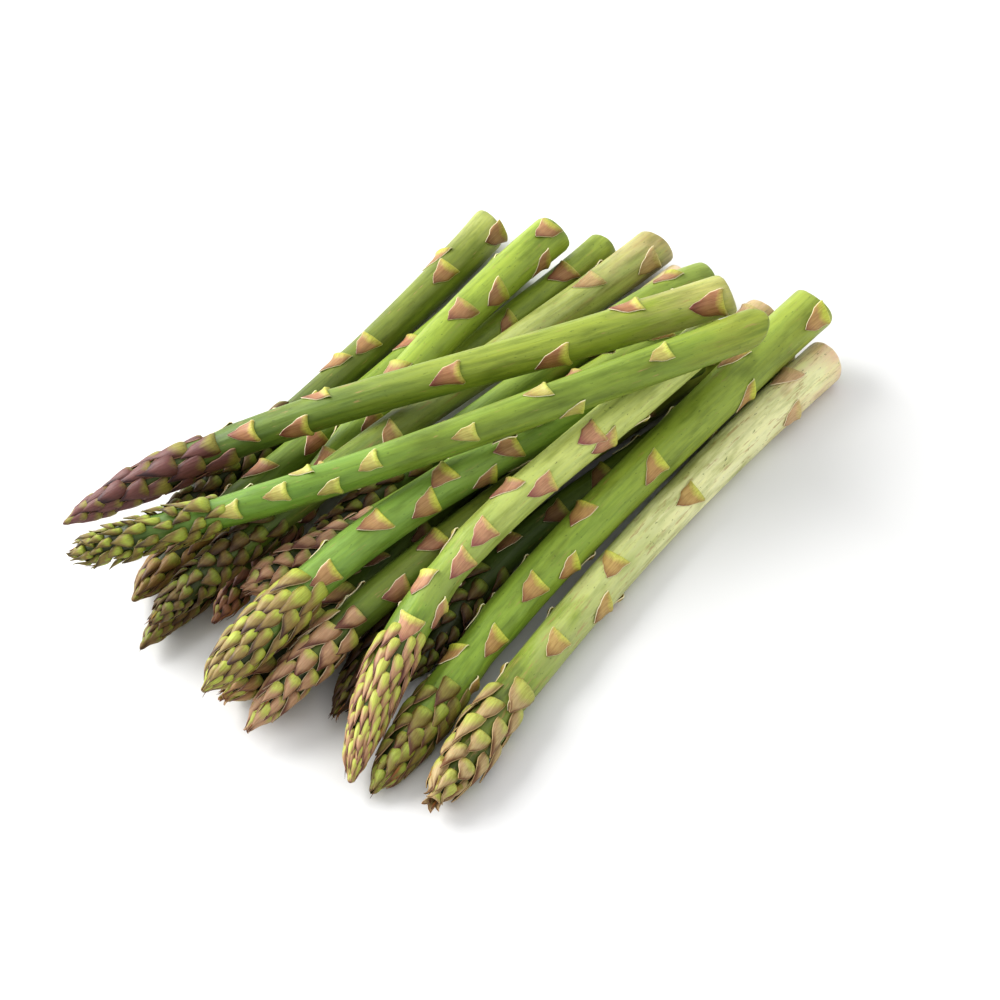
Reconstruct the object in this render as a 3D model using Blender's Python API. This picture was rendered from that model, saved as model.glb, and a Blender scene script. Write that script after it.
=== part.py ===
# A bundle of green asparagus lying on a table, seventeen whole spears, tips to the front left.
# Every spear is one grown piece: shaft, pointed scale leaves and scaly head fused into one solid.
# +X is to the viewer's right, +Y is away from the viewer, +Z is up, the table is Z = 0.
import math
import random

import bmesh
import bpy
import numpy as np

MM = 0.001

# Where the spears lie, in millimetres.  butt and tip are the two ends of the middle line,
# bow is its sideways bend, sway an S bend, sag the rise of its middle.
# thick is the shaft across at the butt and below the head.
# head is the length of the head, its swelling against the shaft, how far its scales open,
# and how blunt its end is (0 is a long point, 1 is round).
# tone picks the colour.
SPEARS = {
    "spear_n": dict(butt=(98, 57, 7), tip=(-18, -113, 7), bow=-6, sway=0, sag=0,
                    thick=(13.6, 11.0), head=(46, 1.26, 1.5, 0.5), tone="pale", seed=1,
                    scales=((17, 75), (25, 172), (75, 130), (111, 92), (123, 168), (144, 122))),
    "spear_l": dict(butt=(99, 66, 21), tip=(-35, -108, 7), bow=-4, sway=2, sag=1,
                    thick=(14.4, 12.0), head=(62, 1.16, 1.2, 0.5), tone="mid", seed=2,
                    scales=((6, 150), (38, 65), (44, 178), (86, 130), (113, 74), (128, 168), (142, 125))),
    "spear_p": dict(butt=(85, 64, 6), tip=(-25, -72, 6), bow=-9, sway=4, sag=0,
                    thick=(11.6, 9.6), head=(44, 1.20, 0.8, 0.3), tone="deep", seed=3,
                    scales=((20, 100), (52, 160), (80, 95), (100, 120), (118, 70))),
    "spear_o": dict(butt=(88, 72, 9), tip=(-68, -90, 8), bow=-2, sway=-1, sag=8,
                    thick=(12.0, 10.0), head=(44, 1.20, 1.0, 0.3), tone="pink", seed=4,
                    scales=((6, 80), (33, 110), (62, 132), (98, 70), (126, 150), (150, 100), (168, 160))),
    "spear_j": dict(butt=(41, 61, 6), tip=(-44, -83, 6), bow=-3, sway=1, sag=0,
                    thick=(10.8, 9.4), head=(46, 1.25, 1.2, 0.2), tone="deep", seed=5,
                    scales=((12, 120), (45, 60), (74, 150), (98, 100))),
    "spear_e": dict(butt=(36, 110, 6), tip=(-95, -62, 6), bow=-2, sway=-4, sag=0,
                    thick=(10.6, 9.0), head=(44, 1.20, 0.8, 0.1), tone="olive", seed=6,
                    scales=((21, 108), (50, 132), (88, 80), (120, 150), (146, 100))),
    "spear_q": dict(butt=(-1, 119, 6), tip=(-97, -13, 6), bow=8, sway=-1, sag=0,
                    thick=(13.4, 9.4), head=(50, 1.10, 1.2, 0.3), tone="mid", seed=7,
                    scales=((4, 158), (24, 45), (30, 112), (71, 104), (82, 66), (100, 150))),
    "spear_i": dict(butt=(19, 105, 16), tip=(-79, -51, 6), bow=-2, sway=0, sag=1,
                    thick=(13.4, 9.4), head=(42, 1.20, 0.8, 0.2), tone="mid", seed=8,
                    scales=((5, 104), (14, 176), (37, 150), (52, 110), (84, 70), (104, 140), (124, 96))),
    "spear_m": dict(butt=(67, 84, 20), tip=(-68, -26, 12), bow=3, sway=4, sag=2,
                    thick=(11.2, 9.0), head=(42, 1.15, 0.8, 0.2), tone="light", seed=9,
                    scales=((14, 60), (52, 170), (97, 158), (118, 112), (134, 98))),
    "spear_d": dict(butt=(51, 106, 16), tip=(-97, -58, 13), bow=-1, sway=-1, sag=0,
                    thick=(14.0, 9.4), head=(42, 1.15, 1.0, 0.3), tone="beige", seed=10,
                    scales=((8, 152), (31, 98), (70, 150), (104, 80), (132, 130), (158, 96))),
    "spear_c": dict(butt=(3, 102, 6), tip=(-97, -48, 8), bow=0, sway=-3, sag=0,
                    thick=(11.0, 9.8), head=(46, 1.30, 0.8, 0.3), tone="light", seed=11,
                    scales=((20, 125), (51, 74), (76, 172), (101, 126), (120, 80))),
    "spear_h": dict(butt=(62, 92, 10), tip=(-70, -82, 18), bow=1, sway=-1, sag=3,
                    thick=(12.2, 10.6), head=(48, 1.30, 1.5, 0.7), tone="pink", seed=12,
                    scales=((8, 130), (40, 70), (78, 160), (104, 90), (126, 104), (139, 146), (156, 84))),
    "spear_g": dict(butt=(58, 44, 20), tip=(-76, -87, 24), bow=-4, sway=2, sag=6,
                    thick=(12.8, 11.2), head=(52, 1.30, 1.0, 0.6), tone="mid", seed=13,
                    scales=((12, 150), (36, 60), (61, 78), (74, 130), (84, 178), (96, 92), (105, 146),
                            (121, 106))),
    "spear_f": dict(butt=(64, 58, 14), tip=(-72, -46, 26), bow=4, sway=-2, sag=0,
                    thick=(11.2, 9.8), head=(38, 1.20, 0.9, 0.8), tone="light", seed=14,
                    scales=((15, 100), (48, 60), (80, 172), (99, 110), (114, 130))),
    "spear_k": dict(butt=(60, 44, 36), tip=(-36, -107, 11), bow=-13, sway=2, sag=8,
                    thick=(12.0, 10.4), head=(76, 1.30, 1.2, 0.5), tone="light", seed=15,
                    scales=((18, 100), (54, 178), (58, 122), (79, 152), (87, 64), (103, 122), (114, 170))),
    "spear_a": dict(butt=(68, 37, 47), tip=(-124, -15, 11), bow=-1, sway=2, sag=1,
                    thick=(12.8, 10.2), head=(54, 1.22, 0.5, 0.1), tone="purple", seed=16,
                    scales=((4, 155), (27, 78), (51, 172), (82, 135), (120, 66), (128, 168), (143, 124))),
    "spear_b": dict(butt=(75, 28, 48), tip=(-116, -46, 24), bow=9, sway=-2, sag=3,
                    thick=(11.8, 9.6), head=(52, 1.12, 1.3, 0.8), tone="green", seed=17,
                    scales=((32, 106), (61, 188), (69, 88), (93, 140), (121, 118), (133, 160),
                            (139, 64), (147, 128))),
}
TONES = {
    "pale": ((0.56, 0.56, 0.17), 0.42),
    "mid": ((0.30, 0.42, 0.06), 0.40),
    "deep": ((0.16, 0.24, 0.05), 0.45),
    "pink": ((0.36, 0.36, 0.12), 0.44),
    "olive": ((0.24, 0.26, 0.06), 0.46),
    "light": ((0.38, 0.50, 0.09), 0.40),
    "beige": ((0.42, 0.42, 0.15), 0.43),
    "purple": ((0.26, 0.30, 0.09), 0.42),
    "green": ((0.26, 0.42, 0.05), 0.42),
}

# The middle of the whole pile on the table, taken off so that the origin lies under it.
PILE_MIDDLE = (-9.4, 4.5)

# Settling of the pile.
STEPS = 41
ROUNDS = 240
LOOSE_FROM = 0.7
SINK = 0.10
HOME = 0.97
STIFF = 0.95
PROUD = 0.8
GAP = 0.35
PRESS = 0.4

# Shape of a spear.
BEVEL_RESOLUTION = 3
SHAFT_RINGS = 7
HEAD_RINGS = 6
RIM = 0.7
TIP_RADIUS = 0.9
CORE_IN_HEAD = 0.84

# Scale leaves: flat wedges, wide at the root, pointed towards the tip of the spear.
GOLDEN_ANGLE = math.radians(137.5)
FAR_SIDE_GAP = 34
SHAFT_SCALE = (12.5, 4.6)
HEAD_SCALES_PER_MM = 0.175
HEAD_SCALE_LONG = (13.0, 6.5)
HEAD_SCALE_HALF_WIDE = (4.6, 2.4)
ROOT_DEPTH = 1.6

# Corners closer than this are one corner.  A spear whose fused solid is not closed is grown
# again with its scales turned a little further round, at most this many times.
WELD = 0.000004
TRIES = 8
TRY_TURN = 0.11
LEAST_SHARE = 0.95
SOLVERS = ("EXACT", "MANIFOLD")

STEP_AT = np.linspace(0, 1, STEPS)
KNOT_AT = np.array((0, 1 / 3, 2 / 3, 1))


# Share of each of the four knots in every point of a spear.
def knot_shares():
    columns = []
    for k in range(4):
        share = np.ones(STEPS)
        for m in range(4):
            if m != k:
                share = share * (STEP_AT - KNOT_AT[m]) / (KNOT_AT[k] - KNOT_AT[m])
        columns.append(share)
    return np.stack(columns, 1)


SHARE = knot_shares()
SHARE_SQUARED = (SHARE * SHARE).sum(1)


# Middle line of a spear as laid out, before the pile settles.
def laid_line(row):
    butt = np.array(row["butt"], float)
    tip = np.array(row["tip"], float)
    run = (tip - butt) * (1, 1, 0)
    run = run / np.linalg.norm(run)
    side = np.array((-run[1], run[0], 0))
    hump = 4 * STEP_AT * (1 - STEP_AT)
    line = butt + np.outer(STEP_AT, tip - butt)
    line = line + np.outer(hump * row["bow"] + np.sin(2 * math.pi * STEP_AT) * row["sway"], side)
    line[:, 2] += hump * row["sag"]
    return line


def length_of(line):
    return float(np.linalg.norm(np.diff(line, axis=0), axis=1).sum())


# Radius of the shaft and of the outside of the head at a distance from the butt.
def outer_radius(row, at, length):
    thick_butt = row["thick"][0] / 2
    thick_neck = row["thick"][1] / 2
    head_long, swell, _open, blunt = row["head"]
    head_from = length - head_long
    down = np.clip(at / head_from, 0, 1)
    shaft = thick_butt + (thick_neck - thick_butt) * down ** 0.8
    along = np.clip((at - head_from) / head_long, 0, 1)
    belly = 1 + (swell - 1) * np.sin(np.pi / 2 * np.clip(along / 0.45, 0, 1)) ** 2
    close_from = 0.32 + 0.30 * blunt
    closing = np.clip((along - close_from) / (1 - close_from), 0, 1)
    cap = (1 - closing ** (1.7 + 0.6 * blunt)) ** (0.75 - 0.25 * blunt)
    return np.maximum(shaft * belly * cap, TIP_RADIUS)


# The pile settles: each spear sinks, is pushed clear of its neighbours and of the table,
# and bends a little through its four knots.
def settled_lines():
    names = list(SPEARS)
    base = [laid_line(SPEARS[name]) for name in names]
    room = []
    for name, line in zip(names, base):
        length = length_of(line)
        room.append(outer_radius(SPEARS[name], STEP_AT * length, length) + PROUD)
    moved = [np.zeros((4, 3)) for name in names]
    lines = [line.copy() for line in base]
    count = len(names)
    lever = KNOT_AT - 0.5
    for turn in range(ROUNDS):
        for i in range(count):
            if turn < LOOSE_FROM * ROUNDS:
                moved[i][:, :2] *= HOME
                moved[i][:, 2] -= SINK
                middle = moved[i].mean(0)
                tilt = ((moved[i] - middle) * lever[:, None]).sum(0) / (lever ** 2).sum()
                straight = middle + np.outer(lever, tilt)
                moved[i] = straight + (moved[i] - straight) * STIFF
            lines[i] = base[i] + SHARE @ moved[i]
        for _again in range(2):
            for i in range(count):
                for j in range(i + 1, count):
                    apart = lines[i][:, None] - lines[j][None]
                    distance = np.sqrt((apart ** 2).sum(2))
                    overlap = room[i][:, None] + room[j][None] + GAP - distance
                    a, b = divmod(int(overlap.argmax()), STEPS)
                    if overlap[a, b] <= 0:
                        continue
                    push = apart[a, b] / distance[a, b] * min(overlap[a, b], 3) / 2
                    moved[i] += np.outer(SHARE[a] / SHARE_SQUARED[a], push)
                    moved[j] -= np.outer(SHARE[b] / SHARE_SQUARED[b], push)
                    lines[i] = base[i] + SHARE @ moved[i]
                    lines[j] = base[j] + SHARE @ moved[j]
            for i in range(count):
                below = room[i] - PROUD - PRESS - lines[i][:, 2]
                a = int(below.argmax())
                if below[a] > 0:
                    moved[i][:, 2] += SHARE[a] / SHARE_SQUARED[a] * below[a]
                    lines[i] = base[i] + SHARE @ moved[i]
    shift = np.array((PILE_MIDDLE[0], PILE_MIDDLE[1], 0))
    return {name: line - shift for name, line in zip(names, lines)}


# Point on or over a spear's skin: distance from the butt, angle round it, height over the skin.
class Spear:
    def __init__(self, row, line):
        self.row = row
        self.line = line
        self.reach = np.concatenate(([0], np.cumsum(np.linalg.norm(np.diff(line, axis=0), axis=1))))
        self.length = float(self.reach[-1])
        self.head_from = self.length - row["head"][0]

    def centre(self, at):
        return np.array([np.interp(at, self.reach, self.line[:, axis]) for axis in range(3)])

    def axes(self, at):
        ahead = self.centre(min(at + 1, self.length)) - self.centre(max(at - 1, 0))
        ahead = ahead / np.linalg.norm(ahead)
        side = np.cross(ahead, (0, 0, 1))
        side = side / np.linalg.norm(side)
        return ahead, side, np.cross(side, ahead)

    def core(self, at):
        outside = float(outer_radius(self.row, np.array(float(at)), self.length))
        into = min(max((at - self.head_from) / 12, 0), 1)
        return max(outside * (1 - (1 - CORE_IN_HEAD) * into), TIP_RADIUS)

    def point(self, at, angle, height):
        beyond = max(at - self.length, 0)
        on = min(max(at, 0), self.length)
        ahead, side, over = self.axes(on)
        out = side * math.cos(angle) + over * math.sin(angle)
        return self.centre(on) + ahead * beyond + out * (self.core(on) + height)


# Shaft and core of the head, one tube along the middle line with a cut butt.
def make_core(name, spear, home):
    along = [0, RIM]
    along += list(np.linspace(RIM, spear.head_from, SHAFT_RINGS)[1:])
    along += list(np.linspace(spear.head_from, spear.length, HEAD_RINGS + 1)[1:])
    curve = bpy.data.curves.new(name + "_line", "CURVE")
    curve.dimensions = "3D"
    curve.bevel_depth = MM
    curve.bevel_resolution = BEVEL_RESOLUTION
    curve.use_fill_caps = True
    curve.twist_mode = "Z_UP"
    spline = curve.splines.new("POLY")
    spline.points.add(len(along) - 1)
    for point, at in zip(spline.points, along):
        point.co = (*(spear.centre(at) * MM), 1)
        point.radius = spear.core(at) * (0.93 if at == 0 else 1)
    tube = bpy.data.objects.new(name + "_tube", curve)
    home.objects.link(tube)
    bpy.context.view_layer.update()
    seen = tube.evaluated_get(bpy.context.evaluated_depsgraph_get())
    mesh = bpy.data.meshes.new_from_object(seen)
    edit = bmesh.new()
    edit.from_mesh(mesh)
    bmesh.ops.remove_doubles(edit, verts=edit.verts, dist=0.00005)
    bmesh.ops.recalc_face_normals(edit, faces=edit.faces)
    edit.to_mesh(mesh)
    edit.free()
    body = bpy.data.objects.new(name, mesh)
    body.matrix_world = tube.matrix_world
    home.objects.link(body)
    bpy.data.objects.remove(tube, do_unlink=True)
    bpy.data.curves.remove(curve)
    return body


# The plain scale: a six-sided prism whose corners are root left, root middle, root right,
# right shoulder, point and left shoulder.  x is across, y along, z out.
def make_plain_scale(helpers):
    bpy.ops.mesh.primitive_cylinder_add(vertices=6, radius=1, depth=2, end_fill_type="TRIFAN")
    plain = bpy.context.object
    plain.name = "plain_scale"
    for holder in list(plain.users_collection):
        holder.objects.unlink(plain)
    helpers.objects.link(plain)
    corners = [(-0.85, 0.10), (0.0, -0.04), (0.85, 0.10), (0.95, 0.36), (0.0, 1.0), (-0.95, 0.36)]
    lift = [0.45, 0.95, 0.45, 0.55, 0.80, 0.55]
    for vertex in plain.data.vertices:
        across = math.hypot(vertex.co.x, vertex.co.y)
        top = vertex.co.z > 0
        if across < 0.5:
            spot = (0.0, 0.40)
            high = 1.0
        else:
            turn = math.atan2(vertex.co.x, -vertex.co.y)
            index = int(round(turn / (math.pi / 3))) % 6
            spot = corners[(index + 1) % 6]
            high = lift[(index + 1) % 6]
        if top:
            vertex.co = (spot[0], spot[1], high)
        else:
            vertex.co = (spot[0] * 0.9, 0.06 + spot[1] * 0.86, -1.0)
    return plain


# One scale wrapped on a spear: the plain scale's corners are placed by distance and angle.
def grow_scale(name, plain, spear, at, angle, long, half_wide, rise, open_by, home):
    mesh = plain.data.copy()
    radius = spear.core(at)
    for vertex in mesh.vertices:
        across, along, out = vertex.co
        where = at + along * long
        turn = angle + across * half_wide / radius
        if out > 0:
            height = rise * out + open_by * along ** 2
        else:
            height = -min(ROOT_DEPTH, spear.core(min(where, spear.length)) * 0.6)
        vertex.co = spear.point(where, turn, height) * MM
    edit = bmesh.new()
    edit.from_mesh(mesh)
    bmesh.ops.recalc_face_normals(edit, faces=edit.faces)
    edit.to_mesh(mesh)
    edit.free()
    scale = bpy.data.objects.new(name, mesh)
    home.objects.link(scale)
    return scale


# Where the scales sit, by distance from the butt and turn: far apart on the shaft, where the
# row gives those on the seen side, close in the head.
def scale_places(spear, dice):
    seen = [(at, math.radians(turn)) for at, turn in spear.row["scales"] if at < spear.head_from - 6]
    places = []
    for (at, turn), (next_at, _turn) in zip(seen, seen[1:] + [(spear.head_from, 0)]):
        places.append((at, turn))
        if next_at - at > FAR_SIDE_GAP:
            between = at + (next_at - at) * dice.uniform(0.4, 0.6)
            places.append((between, turn + math.pi * dice.uniform(0.85, 1.15)))
    head_long = spear.row["head"][0]
    number = int(round(head_long * HEAD_SCALES_PER_MM))
    angle = dice.uniform(0, 2 * math.pi)
    for index in range(number):
        share = index / number
        angle += GOLDEN_ANGLE
        places.append((spear.head_from + head_long * (share * 1.05 - 0.09 * share * share - 0.05), angle))
    return places


def add_scales(name, plain, spear, body, helpers, turned, solver):
    dice = random.Random(spear.row["seed"])
    scales = bpy.data.collections.new(name + "_scales")
    helpers.children.link(scales)
    opening = spear.row["head"][2]
    for index, (at, turn) in enumerate(scale_places(spear, dice)):
        angle = turn + turned
        within = (at - spear.head_from) / spear.row["head"][0]
        if within < -0.06:
            long, half_wide = SHAFT_SCALE
            rise = 0.75
            open_by = 0.0
        else:
            within = max(within, 0)
            long = HEAD_SCALE_LONG[0] + (HEAD_SCALE_LONG[1] - HEAD_SCALE_LONG[0]) * within
            wide = HEAD_SCALE_HALF_WIDE
            half_wide = wide[0] + (wide[1] - wide[0]) * within
            rise = 1.0
            open_by = 0.5 * opening
        long *= dice.uniform(0.92, 1.08)
        label = name + "_scale_" + str(index)
        grow_scale(label, plain, spear, at, angle, long, half_wide, rise, open_by, scales)
    fuse = body.modifiers.new("scales", "BOOLEAN")
    fuse.operation = "UNION"
    fuse.operand_type = "COLLECTION"
    fuse.collection = scales
    fuse.solver = solver
    apply_modifiers(body)
    for scale in list(scales.objects):
        mesh = scale.data
        bpy.data.objects.remove(scale, do_unlink=True)
        bpy.data.meshes.remove(mesh)
    bpy.data.collections.remove(scales)


def apply_modifiers(body):
    bpy.context.view_layer.update()
    seen = body.evaluated_get(bpy.context.evaluated_depsgraph_get())
    mesh = bpy.data.meshes.new_from_object(seen)
    old = body.data
    body.modifiers.clear()
    body.data = mesh
    bpy.data.meshes.remove(old)


# What reaches under the table is cut off, which leaves the small flats the pile rests on.
def press_flat(body, table, solver):
    if min(vertex.co.z for vertex in body.data.vertices) >= 0:
        return
    cut = body.modifiers.new("table", "BOOLEAN")
    cut.operation = "DIFFERENCE"
    cut.object = table
    cut.solver = solver
    apply_modifiers(body)


def make_table(helpers):
    bpy.ops.mesh.primitive_cube_add(size=1, location=(0, 0, -0.02))
    table = bpy.context.object
    table.name = "table_cutter"
    table.scale = (0.6, 0.6, 0.04)
    for holder in list(table.users_collection):
        holder.objects.unlink(table)
    helpers.objects.link(table)
    return table


# Closes up corners that lie together and tells whether the solid is one closed surface.
def tidy_mesh(body, core_solid):
    edit = bmesh.new()
    edit.from_mesh(body.data)
    bmesh.ops.remove_doubles(edit, verts=edit.verts, dist=WELD)
    bmesh.ops.dissolve_degenerate(edit, dist=WELD, edges=edit.edges)
    bmesh.ops.triangulate(edit, faces=edit.faces)
    bmesh.ops.dissolve_degenerate(edit, dist=WELD, edges=edit.edges)
    drop_scrap(edit)
    bmesh.ops.recalc_face_normals(edit, faces=edit.faces)
    closed = all(edge.is_manifold for edge in edit.edges)
    closed = closed and all(vertex.is_manifold for vertex in edit.verts)
    solid = edit.calc_volume()
    edit.to_mesh(body.data)
    edit.free()
    return closed and solid > LEAST_SHARE * core_solid


def solid_of(body):
    edit = bmesh.new()
    edit.from_mesh(body.data)
    solid = edit.calc_volume()
    edit.free()
    return solid


# Keeps the largest connected shell of a mesh being edited.
def drop_scrap(edit):
    left = set(edit.verts)
    shells = []
    while left:
        shell = [left.pop()]
        for vertex in shell:
            for edge in vertex.link_edges:
                other = edge.other_vert(vertex)
                if other in left:
                    left.remove(other)
                    shell.append(other)
        shells.append(shell)
    shells.sort(key=len)
    for shell in shells[:-1]:
        bmesh.ops.delete(edit, geom=shell, context="VERTS")


def make_material(name, tone):
    colour, rough = TONES[tone]
    skin = bpy.data.materials.new(name + "_skin")
    skin.use_nodes = True
    shader = skin.node_tree.nodes["Principled BSDF"]
    shader.inputs["Base Color"].default_value = (*colour, 1)
    shader.inputs["Roughness"].default_value = rough
    shader.inputs["Metallic"].default_value = 0.0
    return skin


def build():
    for thing in list(bpy.data.objects):
        bpy.data.objects.remove(thing, do_unlink=True)
    bundle = bpy.data.collections.new("asparagus_bundle")
    helpers = bpy.data.collections.new("helpers")
    bpy.context.scene.collection.children.link(bundle)
    bpy.context.scene.collection.children.link(helpers)
    plain = make_plain_scale(helpers)
    table = make_table(helpers)
    lines = settled_lines()
    for name, row in SPEARS.items():
        spear = Spear(row, lines[name])
        for attempt in range(TRIES):
            body = make_core(name, spear, bundle)
            core_solid = solid_of(body)
            solver = SOLVERS[attempt % len(SOLVERS)]
            turned = attempt // len(SOLVERS) * TRY_TURN
            add_scales(name, plain, spear, body, helpers, turned, solver)
            press_flat(body, table, solver)
            if tidy_mesh(body, core_solid):
                break
            if attempt < TRIES - 1:
                bpy.data.objects.remove(body, do_unlink=True)
        body.name = name
        body.data.name = name
        body.data.materials.clear()
        body.data.materials.append(make_material(name, row["tone"]))
        print(name, "triangles", sum(len(face.vertices) - 2 for face in body.data.polygons),
              "length", round(spear.length, 1), "tries", attempt + 1)
    for helper in (plain, table):
        helper.hide_render = True
        helper.display_type = "WIRE"


build()
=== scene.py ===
import math
import random

import bpy
import numpy as np
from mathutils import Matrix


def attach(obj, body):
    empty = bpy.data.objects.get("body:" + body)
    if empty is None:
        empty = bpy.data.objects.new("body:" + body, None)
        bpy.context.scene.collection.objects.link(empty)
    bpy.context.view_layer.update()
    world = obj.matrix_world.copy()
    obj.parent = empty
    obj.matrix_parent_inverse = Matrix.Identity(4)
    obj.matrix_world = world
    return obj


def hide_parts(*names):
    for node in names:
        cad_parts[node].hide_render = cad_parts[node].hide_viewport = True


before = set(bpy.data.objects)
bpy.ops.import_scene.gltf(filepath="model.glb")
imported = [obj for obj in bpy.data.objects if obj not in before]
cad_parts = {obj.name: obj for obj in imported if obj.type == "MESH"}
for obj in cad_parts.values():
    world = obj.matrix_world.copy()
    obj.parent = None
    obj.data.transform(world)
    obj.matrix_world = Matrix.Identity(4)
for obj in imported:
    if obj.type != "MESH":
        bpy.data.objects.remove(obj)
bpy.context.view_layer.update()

bpy.ops.object.select_all(action="DESELECT")
mm = 0.001


# where the stalks lie, in millimetres, as the solids have them
# head: how long, how swollen, how far its leaves open, how blunt its end is
# leaves: distance from the butt and turn round the stalk, for those that the eye sees
stalks = {
    "spear_n": dict(butt=(98, 57, 7), tip=(-18, -113, 7), bow=-6, sway=0, sag=0,
                    thick=(13.6, 11.0), head=(46, 1.26, 1.5, 0.5), seed=1,
                    leaves=((17, 75), (25, 172), (75, 130), (111, 92), (123, 168), (144, 122))),
    "spear_l": dict(butt=(99, 66, 21), tip=(-35, -108, 7), bow=-4, sway=2, sag=1,
                    thick=(14.4, 12.0), head=(62, 1.16, 1.2, 0.5), seed=2,
                    leaves=((6, 150), (38, 65), (44, 178), (86, 130), (113, 74), (128, 168), (142, 125))),
    "spear_p": dict(butt=(85, 64, 6), tip=(-25, -72, 6), bow=-9, sway=4, sag=0,
                    thick=(11.6, 9.6), head=(44, 1.20, 0.8, 0.3), seed=3,
                    leaves=((20, 100), (52, 160), (80, 95), (100, 120), (118, 70))),
    "spear_o": dict(butt=(88, 72, 9), tip=(-68, -90, 8), bow=-2, sway=-1, sag=8,
                    thick=(12.0, 10.0), head=(44, 1.20, 1.0, 0.3), seed=4,
                    leaves=((6, 80), (33, 110), (62, 132), (98, 70), (126, 150), (150, 100), (168, 160))),
    "spear_j": dict(butt=(41, 61, 6), tip=(-44, -83, 6), bow=-3, sway=1, sag=0,
                    thick=(10.8, 9.4), head=(46, 1.25, 1.2, 0.2), seed=5,
                    leaves=((12, 120), (45, 60), (74, 150), (98, 100))),
    "spear_e": dict(butt=(36, 110, 6), tip=(-95, -62, 6), bow=-2, sway=-4, sag=0,
                    thick=(10.6, 9.0), head=(44, 1.20, 0.8, 0.1), seed=6,
                    leaves=((21, 108), (50, 132), (88, 80), (120, 150), (146, 100))),
    "spear_q": dict(butt=(-1, 119, 6), tip=(-97, -13, 6), bow=8, sway=-1, sag=0,
                    thick=(13.4, 9.4), head=(50, 1.10, 1.2, 0.3), seed=7,
                    leaves=((4, 158), (24, 45), (30, 112), (71, 104), (82, 66), (100, 150))),
    "spear_i": dict(butt=(19, 105, 16), tip=(-79, -51, 6), bow=-2, sway=0, sag=1,
                    thick=(13.4, 9.4), head=(42, 1.20, 0.8, 0.2), seed=8,
                    leaves=((5, 104), (14, 176), (37, 150), (52, 110), (84, 70), (104, 140), (124, 96))),
    "spear_m": dict(butt=(67, 84, 20), tip=(-68, -26, 12), bow=3, sway=4, sag=2,
                    thick=(11.2, 9.0), head=(42, 1.15, 0.8, 0.2), seed=9,
                    leaves=((14, 60), (52, 170), (97, 158), (118, 112), (134, 98))),
    "spear_d": dict(butt=(51, 106, 16), tip=(-97, -58, 13), bow=-1, sway=-1, sag=0,
                    thick=(14.0, 9.4), head=(42, 1.15, 1.0, 0.3), seed=10,
                    leaves=((8, 152), (31, 98), (70, 150), (104, 80), (132, 130), (158, 96))),
    "spear_c": dict(butt=(3, 102, 6), tip=(-97, -48, 8), bow=0, sway=-3, sag=0,
                    thick=(11.0, 9.8), head=(46, 1.30, 0.8, 0.3), seed=11,
                    leaves=((20, 125), (51, 74), (76, 172), (101, 126), (120, 80))),
    "spear_h": dict(butt=(62, 92, 10), tip=(-70, -82, 18), bow=1, sway=-1, sag=3,
                    thick=(12.2, 10.6), head=(48, 1.30, 1.5, 0.7), seed=12,
                    leaves=((8, 130), (40, 70), (78, 160), (104, 90), (126, 104), (139, 146), (156, 84))),
    "spear_g": dict(butt=(58, 44, 20), tip=(-76, -87, 24), bow=-4, sway=2, sag=6,
                    thick=(12.8, 11.2), head=(52, 1.30, 1.0, 0.6), seed=13,
                    leaves=((12, 150), (36, 60), (61, 78), (74, 130), (84, 178), (96, 92), (105, 146),
                            (121, 106))),
    "spear_f": dict(butt=(64, 58, 14), tip=(-72, -46, 26), bow=4, sway=-2, sag=0,
                    thick=(11.2, 9.8), head=(38, 1.20, 0.9, 0.8), seed=14,
                    leaves=((15, 100), (48, 60), (80, 172), (99, 110), (114, 130))),
    "spear_k": dict(butt=(60, 44, 36), tip=(-36, -107, 11), bow=-13, sway=2, sag=8,
                    thick=(12.0, 10.4), head=(76, 1.30, 1.2, 0.5), seed=15,
                    leaves=((18, 100), (54, 178), (58, 122), (79, 152), (87, 64), (103, 122), (114, 170))),
    "spear_a": dict(butt=(68, 37, 47), tip=(-124, -15, 11), bow=-1, sway=2, sag=1,
                    thick=(12.8, 10.2), head=(54, 1.22, 0.5, 0.1), seed=16,
                    leaves=((4, 155), (27, 78), (51, 172), (82, 135), (120, 66), (128, 168), (143, 124))),
    "spear_b": dict(butt=(75, 28, 48), tip=(-116, -46, 24), bow=9, sway=-2, sag=3,
                    thick=(11.8, 9.6), head=(52, 1.12, 1.3, 0.8), seed=17,
                    leaves=((32, 106), (61, 188), (69, 88), (93, 140), (121, 118), (133, 160), (139, 64),
                            (147, 128))),
}

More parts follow.
